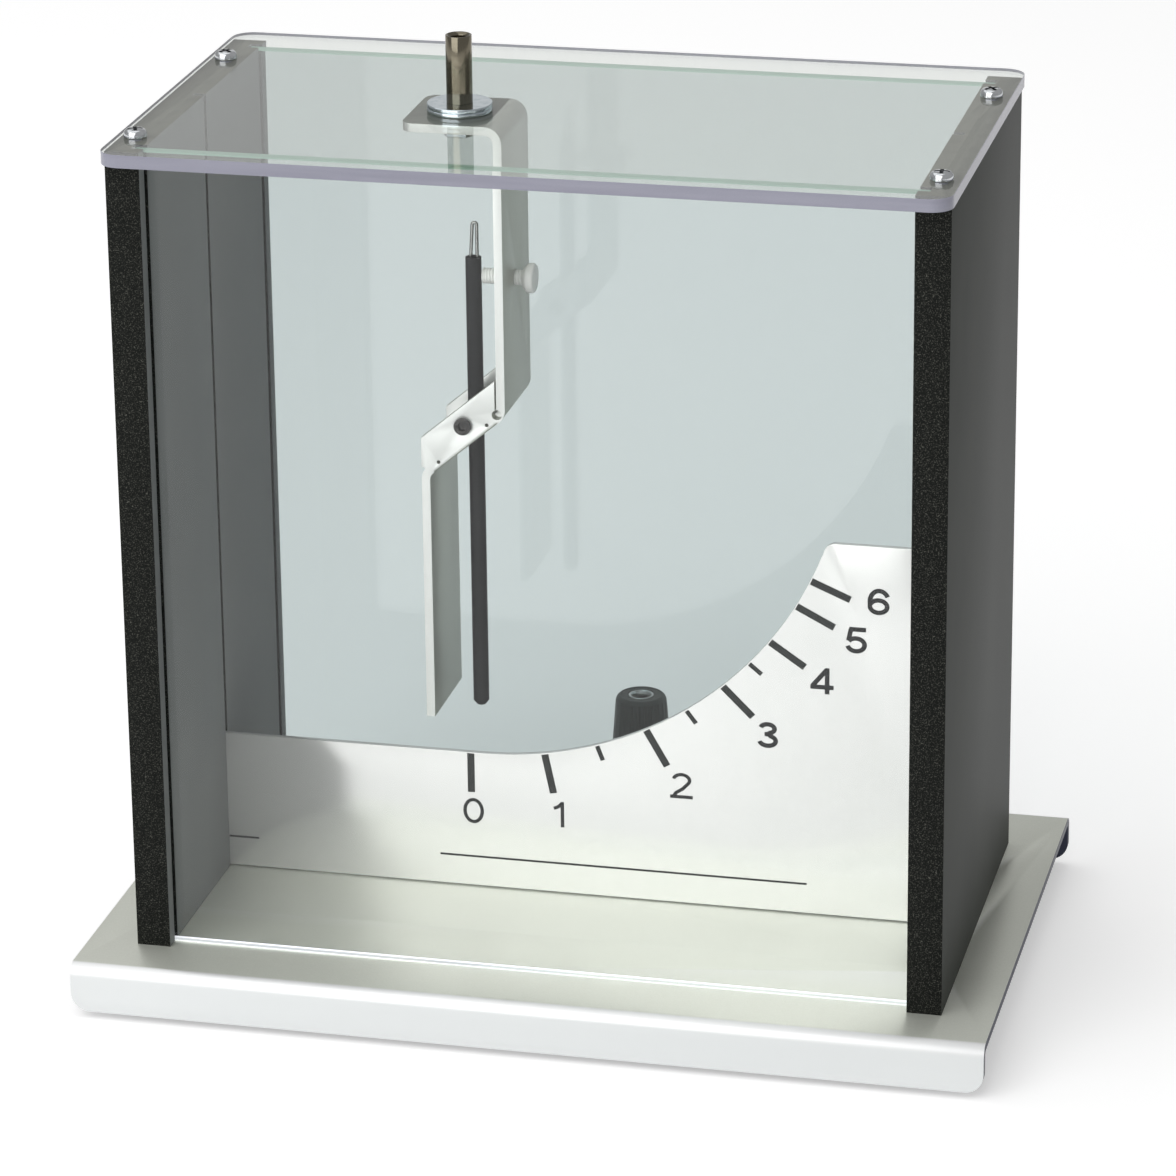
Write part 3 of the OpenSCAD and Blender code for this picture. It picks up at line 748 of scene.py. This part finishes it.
@dataclass
class CaseAssembly:
    """The side boards, both panes and the clear lid with its four screws."""

    palette: Palette
    board_edge: float = 0.3
    pane_edge: float = 0.3
    lid_edge: float = 0.35
    screw_x: float = 91.0
    screw_ys: tuple[float, float] = (-42.5, 27.0)
    lid_top: float = 206.0
    head_r: float = 2.6
    head_h: float = 2.0
    recess_r: float = 1.75
    recess_w: float = 0.85
    recess_d: float = 1.1
    recess_taper: float = 0.6
    shank_r: float = 1.45
    shank_len: float = 11.9
    recess_angles: tuple[float, ...] = (20.0, 55.0, 5.0, 38.0)

    def build(self) -> None:
        """Builds and dresses the case."""
        for side in ("left", "right"):
            board = eased(f"side_board_{side}", self.board_edge)
            settle(board, f"board_{side}", Body.CASE, [self.palette.boards[side]],
                   [f"side_board_{side}"])
        self.pane("front", self.palette.front_glass)
        self.pane("rear", self.palette.rear_glass)
        self.lid()
        self.screws()

    def pane(self, which: str, glass: bpy.types.Material) -> None:
        """Makes one pane of glass with ground edges."""
        low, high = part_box(f"{which}_pane")
        bm = bmesh.new()
        box(bm, tuple(low / MM), tuple(high / MM))
        bmesh.ops.bevel(bm, geom=bm.edges[:], offset=self.pane_edge, segments=1, profile=0.5,
                        affect="EDGES", material=-1)
        bm.normal_update()
        for face in bm.faces:
            if abs(face.normal.y) > 0.95:
                face.material_index = 0
            else:
                # Faces that look down take the near-white foot with its painted highlight and
                # glow.
                face.material_index = 2 if face.normal.z < -0.5 else 1
        scaled(bm)
        settle(bm, f"glass_{which}", Body.CASE,
               [glass, self.palette.glass_edge, self.palette.glass_foot_painted_glow], [f"{which}_pane"], 10.0)

    def lid(self) -> None:
        """Makes the clear lid with polished edges."""
        bm = eased("top_plate", self.lid_edge, 2)
        bm.normal_update()
        for face in bm.faces:
            face.material_index = 0 if abs(face.normal.z) > 0.95 else 1
        settle(bm, "clear_top", Body.CASE,
               [self.palette.lid, self.palette.lid_edge], ["top_plate"], 12.0)

    def head(self, angle: float) -> bmesh.types.BMesh:
        """A pan head with a cross recess turned by an angle in degrees."""
        r, h, reach, half = self.head_r, self.head_h, self.recess_r, self.recess_w / 2
        bm = lathe([(0, 0), (r - 0.15, 0), (r, 0.15), (r, h * 0.45), (r * 0.93, h * 0.7),
                    (r * 0.78, h * 0.88), (r * 0.5, h * 0.98), (0, h)], 40)
        for way in (Vector((1, 0, 0)), Vector((0, 1, 0))):
            for offset in (-reach, -half, half, reach):
                bmesh.ops.bisect_plane(bm, geom=bm.verts[:] + bm.edges[:] + bm.faces[:],
                                       plane_co=way * offset, plane_no=way)
        crossed = []
        for face in bm.faces:
            x, y, z = face.calc_center_median()
            near, far = sorted((abs(x), abs(y)))
            if z > h * 0.6 and near < half and far < reach:
                crossed.append(face)
        sunk = bmesh.ops.extrude_face_region(bm, geom=crossed)["geom"]
        bmesh.ops.delete(bm, geom=crossed, context="FACES")
        verts = [part for part in sunk if isinstance(part, bmesh.types.BMVert)]
        for vert in verts:
            vert.co = Vector((vert.co.x * self.recess_taper, vert.co.y * self.recess_taper,
                              h - self.recess_d))
            # Painted shade: the faces of the cross recess take the second, near-black material.
            for face in vert.link_faces:
                face.material_index = 1
        spin = Matrix.Rotation(math.radians(angle), 3, "Z")
        bmesh.ops.rotate(bm, cent=(0, 0, 0), matrix=spin, verts=bm.verts)
        return bm

    def screws(self) -> None:
        """Makes the four pan-head screws of the lid."""
        whole = bmesh.new()
        r, length = self.shank_r, self.shank_len
        spots = [(side * self.screw_x, y) for side in (-1, 1) for y in self.screw_ys]
        for (x, y), angle in zip(spots, self.recess_angles):
            screw = self.head(angle)
            lathe([(0, -length), (r - 0.25, -length), (r, 0.7 - length), (r, 0.02), (0, 0.02)],
                  24, screw)
            bmesh.ops.translate(screw, vec=(x, y, self.lid_top), verts=screw.verts)
            mesh = bpy.data.meshes.new("screw_blank")
            screw.to_mesh(mesh)
            screw.free()
            whole.from_mesh(mesh)
            bpy.data.meshes.remove(mesh)
        scaled(whole)
        settle(whole, "lid_screws", Body.CASE,
               [self.palette.chrome, self.palette.recess], ["top_screws"], 28.0)


@dataclass
class ScalePlate:
    """The brushed plate with the arc cut-out, its ticks, numbers and rule lines."""

    palette: Palette
    edge: float = 0.12
    front: float = -3.75
    deck: float = 13.0
    pivot: tuple[float, float] = (-23.0, 121.3)
    arc: float = 86.8
    ink: float = 0.04
    long_tick: tuple[float, float] = (10.2, 1.75)
    short_tick: tuple[float, float] = (4.0, 1.1)
    rule_z: float = 7.8
    rule_w: float = 0.5
    digit_h: float = 6.5
    digit_wide: float = 1.38
    thin_line: float = 0.13
    bold_line: float = 0.17
    foot_band: float = 0.3
    foot_gap: float = 0.35
    tick_start: float = 0.25

    def build(self) -> None:
        """Builds the plate, clear of the deck by a fine dark joint, and its print."""
        plate = eased("scale_plate", self.edge)
        for vert in plate.verts:
            if vert.co.z < (self.deck + self.foot_band) * MM:
                vert.co.z += self.foot_gap * MM
        settle(plate, "scale_sheet", Body.CASE, [self.palette.scale],
               ["scale_plate"])
        self.ticks()
        self.rules()
        self.digits()

    def ticks(self) -> None:
        """Prints the long and short ticks along the arc."""
        long_ones = ((-2.2, 0.0), (9.75, 11.6), (26.9, 29.8), (41.6, 45.1), (52.4, 55.8),
                     (59.8, 62.8), (64.6, 67.2))
        short_ones = ((18.4, 21.0), (34.3, 37.4), (47.4, 50.5))
        bm = bmesh.new()
        for marks, (length, width) in ((long_ones, self.long_tick),
                                       (short_ones, self.short_tick)):
            for start, turn in marks:
                verts = box(bm, (-width / 2, self.front - self.ink, -length),
                            (width / 2, self.front, -self.tick_start))
                spin = Matrix.Rotation(math.radians(-turn), 3, "Y")
                bmesh.ops.rotate(bm, cent=(0, 0, 0), matrix=spin, verts=verts)
                a = math.radians(start)
                at = (self.pivot[0] + self.arc * math.sin(a), 0.0,
                      self.deck + self.pivot[1] - self.arc * math.cos(a))
                bmesh.ops.translate(bm, vec=at, verts=verts)
        scaled(bm)
        settle(bm, "scale_ticks", Body.CASE, [self.palette.tick_ink])

    def rules(self) -> None:
        """Prints the two plain rule lines near the foot of the plate."""
        bm = bmesh.new()
        for left, right in ((-86.9, -79.5), (-34.3, 54.8)):
            z = self.deck + self.rule_z
            box(bm, (left, self.front - self.ink, z - self.rule_w / 2),
                (right, self.front, z + self.rule_w / 2))
        scaled(bm)
        settle(bm, "scale_rules", Body.CASE, [self.palette.digit_ink])

    def digits(self) -> None:
        """Prints the plain numbers 0 to 6."""
        centres = ((-25.9, 19.6), (-4.6, 20.4), (24.8, 30.3), (45.5, 44.9), (58.3, 59.5),
                   (66.3, 70.2), (71.4, 80.1))
        bm = bmesh.new()
        for number, (x, z) in enumerate(centres):
            width = self.thin_line if number < 3 else self.bold_line
            for rank, (points, closed) in enumerate(digit_lines(number, width / 2)):
                placed = [(x + (px - DIGIT_WIDTH / 2) * self.digit_h * self.digit_wide,
                           self.deck + z + (pz - 0.5) * self.digit_h) for px, pz in points]
                ribbon(bm, placed, width * self.digit_h, self.front,
                       self.front - self.ink * (1.0 + 0.1 * rank), closed)
        scaled(bm)
        settle(bm, "scale_numbers", Body.CASE, [self.palette.digit_ink])


@dataclass
class SocketAssembly:
    """The socket tube on the lid, its two washers and the nut below."""

    palette: Palette
    axis: tuple[float, float] = (-25.2, -7.5)
    washer_z: float = 206.0
    washer_r: float = 7.5
    washer_t: float = 1.0
    bore_r: float = 2.6
    washer_edge: float = 0.16

    def build(self) -> None:
        """Builds and dresses the socket."""
        tube = eased("socket_tube", 0.12)
        settle(tube, "socket", Body.CASE, [self.palette.nickel], ["socket_tube"])
        nut = eased("tube_nut", 0.3)
        settle(nut, "socket_nut", Body.CASE, [self.palette.zinc], ["tube_nut"])
        r, t, b, e = self.washer_r, self.washer_t, self.bore_r, self.washer_edge
        bm = bmesh.new()
        for i in range(2):
            z = i * t
            lathe([(b, z + 0.01), (r - e, z + 0.01), (r - 0.04, z + 0.12), (r, z + 0.3),
                   (r, z + t - 0.3), (r - 0.04, z + t - 0.12), (r - e, z + t - 0.01),
                   (b + 0.1, z + t - 0.01), (b, z + t - 0.1), (b, z + 0.01)], 64, bm)
        moved(bm, (*self.axis, self.washer_z))
        settle(bm, "washers", Body.CASE, [self.palette.zinc], ["tube_washers"], 25.0)


@dataclass
class Hanger:
    """The folded bracket with its two bearing screws."""

    palette: Palette
    edge: float = 0.15
    screw_edge: float = 0.2

    def build(self) -> None:
        """Builds and dresses the bracket."""
        sheet = eased("bracket", self.edge)
        settle(sheet, "bracket_sheet", Body.CASE, [self.palette.bracket],
               ["bracket"])
        for side in ("front", "rear"):
            screw = eased(f"bearing_screw_{side}", self.screw_edge)
            settle(screw, f"pivot_screw_{side}", Body.CASE,
                   [self.palette.black_steel], [f"bearing_screw_{side}"])


@dataclass
class PointerAssembly:
    """The swinging pointer: its sleeve, doubled wire and axle."""

    palette: Palette

    def build(self) -> None:
        """Builds and dresses the pointer."""
        sleeve = eased("pointer_sleeve", 0.18)
        settle(sleeve, "sleeve", Body.POINTER, [self.palette.sleeve],
               ["pointer_sleeve"])
        dress("pointer_wire", self.palette.bare_steel)
        dress("pointer_axle", self.palette.bare_steel)


@dataclass
class StopScrew:
    """The nylon stop screw with its thread and plain head."""

    palette: Palette
    tip: Point = (-20.8, -5.5, 166.8)
    shank_r: float = 1.9
    shank_len: float = 9.8
    head_r: float = 3.5
    head_t: float = 2.6
    pitch: float = 0.7
    depth: float = 0.25
    lead: float = 0.3
    runout: float = 0.2
    steps: int = 5

    def build(self) -> None:
        """Turns the screw, cuts its thread and dresses it."""
        r, shank, h, end = (self.shank_r, self.shank_len, self.head_r,
                            self.shank_len + self.head_t)
        step = self.pitch / self.steps
        rows = int((shank - self.lead - self.runout) / step)
        thread = [(r, self.lead + i * step) for i in range(rows)]
        head = [(r, shank), (h - 0.9, shank), (h - 0.4, shank + 0.5), (h - 0.1, shank + 0.8),
                (h, shank + 1.1), (h, end - 0.6), (h - 0.1, end - 0.3), (h - 0.4, end - 0.02),
                (h - 0.7, end), (0, end)]
        bm = lathe([(0, 0), (r - self.lead, 0)] + thread + head, 36)
        for vert in bm.verts:
            x, y, z = vert.co
            if abs(math.hypot(x, y) - r) < 0.01 and self.lead + 0.1 < z < shank - self.runout:
                phase = (z / self.pitch - math.atan2(y, x) / (2 * math.pi)) % 1.0
                kept = 1.0 - self.depth / r * (1.0 - abs(2.0 * phase - 1.0))
                vert.co.x, vert.co.y = x * kept, y * kept
        spin = Matrix.Rotation(math.radians(90.0), 3, "Y")
        bmesh.ops.rotate(bm, cent=(0, 0, 0), matrix=spin, verts=bm.verts)
        settle(moved(bm, self.tip), "stop_thumb_screw", Body.STOP,
               [self.palette.nylon], ["stop_screw"], 40.0)


@dataclass
class EarthTerminal:
    """The earth terminal behind the rear glass: ribbed cap, bush, stud and collar."""

    palette: Palette
    axis: tuple[float, float] = (2.0, 56.0)
    cap_z: float = 21.7
    cap_h: float = 20.0
    low_r: float = 7.7
    top_r: float = 6.2
    bush_r: float = 3.15
    stud_r: float = 2.55
    bush_z: float = 5.0
    ribs: int = 24
    rib_depth: float = 0.45
    grip_r: float = 5.0
    grooves: tuple[float, float] = (1.4, 18.8)
    groove_share: float = 0.1

    def build(self) -> None:
        """Builds and dresses the terminal."""
        self.cap()
        bush = eased("post_bush", 0.2)
        settle(bush, "terminal_ring", Body.BUSH, [self.palette.ring], ["post_bush"])
        collar = eased("post_collar", 0.5, 3)
        settle(collar, "terminal_collar", Body.CASE, [self.palette.cap],
               ["post_collar"])
        dress("post_stud", self.palette.nickel)
        dress("post_washer", self.palette.zinc)
        dress("post_nut", self.palette.zinc)

    def radius_at(self, z: float) -> float:
        """Outer radius of the cap at a height above its foot."""
        return self.low_r + (self.top_r - self.low_r) * z / self.cap_h

    def cap(self) -> None:
        """Turns the tapered cap and presses the grip ribs into it."""
        h, b = self.cap_h, self.bush_r
        levels = [0.5, 1.2, 1.7] + [2.0 + i * 2.0 for i in range(8)] + [17.2, 18.2, 18.7]
        wall = [(self.radius_at(z), z) for z in levels]
        rim = [(self.radius_at(19.1) - 0.1, 19.1), (self.radius_at(19.5) - 0.3, 19.5),
               (self.radius_at(19.8) - 0.6, 19.8), (self.radius_at(h) - 1.0, h),
               (self.radius_at(h) - 1.3, h - 0.15)]
        profile = ([(self.stud_r, 0.2), (self.low_r - 0.5, 0.0)] + wall + rim
                   + [(b + 0.25, h), (b, h - 0.25), (b, self.bush_z), (self.stud_r, self.bush_z),
                      (self.stud_r, 0.2)])
        bm = lathe(profile, self.ribs * 4)
        pitch = 2 * math.pi / self.ribs
        for vert in bm.verts:
            radius = math.hypot(vert.co.x, vert.co.y)
            if radius < self.grip_r or not self.grooves[0] < vert.co.z < self.grooves[1]:
                continue
            phase = (math.atan2(vert.co.y, vert.co.x) % pitch) / pitch
            if abs(phase - 0.5) < self.groove_share:
                share = (radius - self.rib_depth) / radius
                bmesh.ops.scale(bm, vec=(share, share, 1.0), verts=[vert])
        moved(bm, (*self.axis, self.cap_z))
        settle(bm, "terminal_cap_ribbed", Body.CAP, [self.palette.cap],
               ["post_cap"], 40.0)


@dataclass
class Studio:
    """The plain pale set: floor, world, lamps and the photograph's camera."""

    azimuth: float = 13.581
    elevation: float = 19.306
    roll: float = -0.735
    lens: float = 158.4
    shift: tuple[float, float] = (0.021, -0.1004)
    eye: Point = (262.8, -1104.3, 516.5)
    fill: float = 0.38
    glow: float = 0.41
    paper: Colour = (0.86, 0.86, 0.86)
    floor_reach: float = 6.0
    far_glow: float = 0.6
    far_from: float = 1225.0
    far_to: float = 3000.0
    lamps: tuple[tuple[str, Point, float, float], ...] = field(default_factory=lambda: (
        ("top", (-450.0, 100.0, 1400.0), 1500.0, 5.0),
        ("key", (-650.0, -1650.0, 1100.0), 2200.0, 29.0),
        ("back", (-380.0, 1600.0, 600.0), 900.0, 0.7),
    ))

    def build(self) -> None:
        """Sets up the whole stage."""
        self.world()
        self.floor()
        for name, at, size, power in self.lamps:
            self.lamp(name, at, size, power)
        self.camera()
        bpy.context.scene.view_settings.view_transform = "Standard"

    def world(self) -> None:
        """A soft grey surround that is white where it is seen directly or through glass."""
        r = Recipe("surround", world=True)
        strength = r.direct() * (1.0 - self.fill) + self.fill
        sky = r.node("ShaderNodeBackground", {}, {"Color": (1.0, 1.0, 1.0), "Strength": strength})
        bpy.context.scene.world = r.finish(sky)

    def floor(self) -> None:
        """A wide pale floor that keeps the soft shadow of the object."""
        bm = bmesh.new()
        bmesh.ops.create_grid(bm, x_segments=1, y_segments=1, size=self.floor_reach)
        mesh = bpy.data.meshes.new("floor")
        bm.to_mesh(mesh)
        bm.free()
        made = bpy.data.objects.new("floor", mesh)
        bpy.context.scene.collection.objects.link(made)
        r = Recipe("floor_paper")
        paper = r.node("ShaderNodeBsdfDiffuse", {}, {"Color": self.paper})
        square = r.along(0) * r.along(0) + r.along(1) * r.along(1)
        far = square.ramped(self.far_from ** 2, self.far_to ** 2)
        glow = r.node("ShaderNodeEmission", {}, {
            "Color": (1.0, 1.0, 1.0),
            "Strength": r.direct(1.5) * self.glow + r.direct() * far * self.far_glow,
        })
        mesh.materials.append(r.finish(r.node("ShaderNodeAddShader", {}, {
            0: paper.outputs[0], 1: glow.outputs[0],
        })))

    def lamp(self, name: str, at: Point, size: float, power: float) -> None:
        """Adds one soft square lamp that looks at the case."""
        data = bpy.data.lights.new(name, "AREA")
        data.shape = "SQUARE"
        data.size = size * MM
        data.energy = power
        made = bpy.data.objects.new(name, data)
        bpy.context.scene.collection.objects.link(made)
        made.location = Vector(at) * MM
        aim = Vector((0.0, 0.0, 0.1)) - made.location
        made.rotation_euler = aim.to_track_quat("-Z", "Y").to_euler()

    def camera(self) -> None:
        """Adds the camera of the photograph."""
        data = bpy.data.cameras.new("camera")
        data.lens = self.lens
        data.sensor_width = 36.0
        data.shift_x, data.shift_y = self.shift
        data.dof.use_dof = False
        data.clip_end = 50.0
        made = bpy.data.objects.new("camera", data)
        bpy.context.scene.collection.objects.link(made)
        a, e, t = (math.radians(v) for v in (self.azimuth, self.elevation, self.roll))
        back = Vector((math.sin(a) * math.cos(e), -math.cos(a) * math.cos(e), math.sin(e)))
        right = (-back).cross(Vector((0, 0, 1))).normalized()
        up = right.cross(-back)
        turned_right = right * math.cos(t) + up * math.sin(t)
        turned_up = up * math.cos(t) - right * math.sin(t)
        pose = Matrix((turned_right, turned_up, back)).transposed().to_4x4()
        pose.translation = Vector(self.eye) * MM
        made.matrix_world = pose
        bpy.context.scene.camera = made


def main() -> None:
    """Builds the looks, sub-assembly by sub-assembly, and then the studio."""
    logging.basicConfig(level=logging.INFO, format="%(name)s: %(message)s")
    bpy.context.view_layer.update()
    palette = Palette()
    builders: list[Callable] = [BaseAssembly, CaseAssembly, ScalePlate, SocketAssembly, Hanger,
                                PointerAssembly, StopScrew, EarthTerminal]
    for builder in builders:
        builder(palette).build()
    Studio().build()
    bpy.context.view_layer.update()


if __name__ == "__main__":
    main()
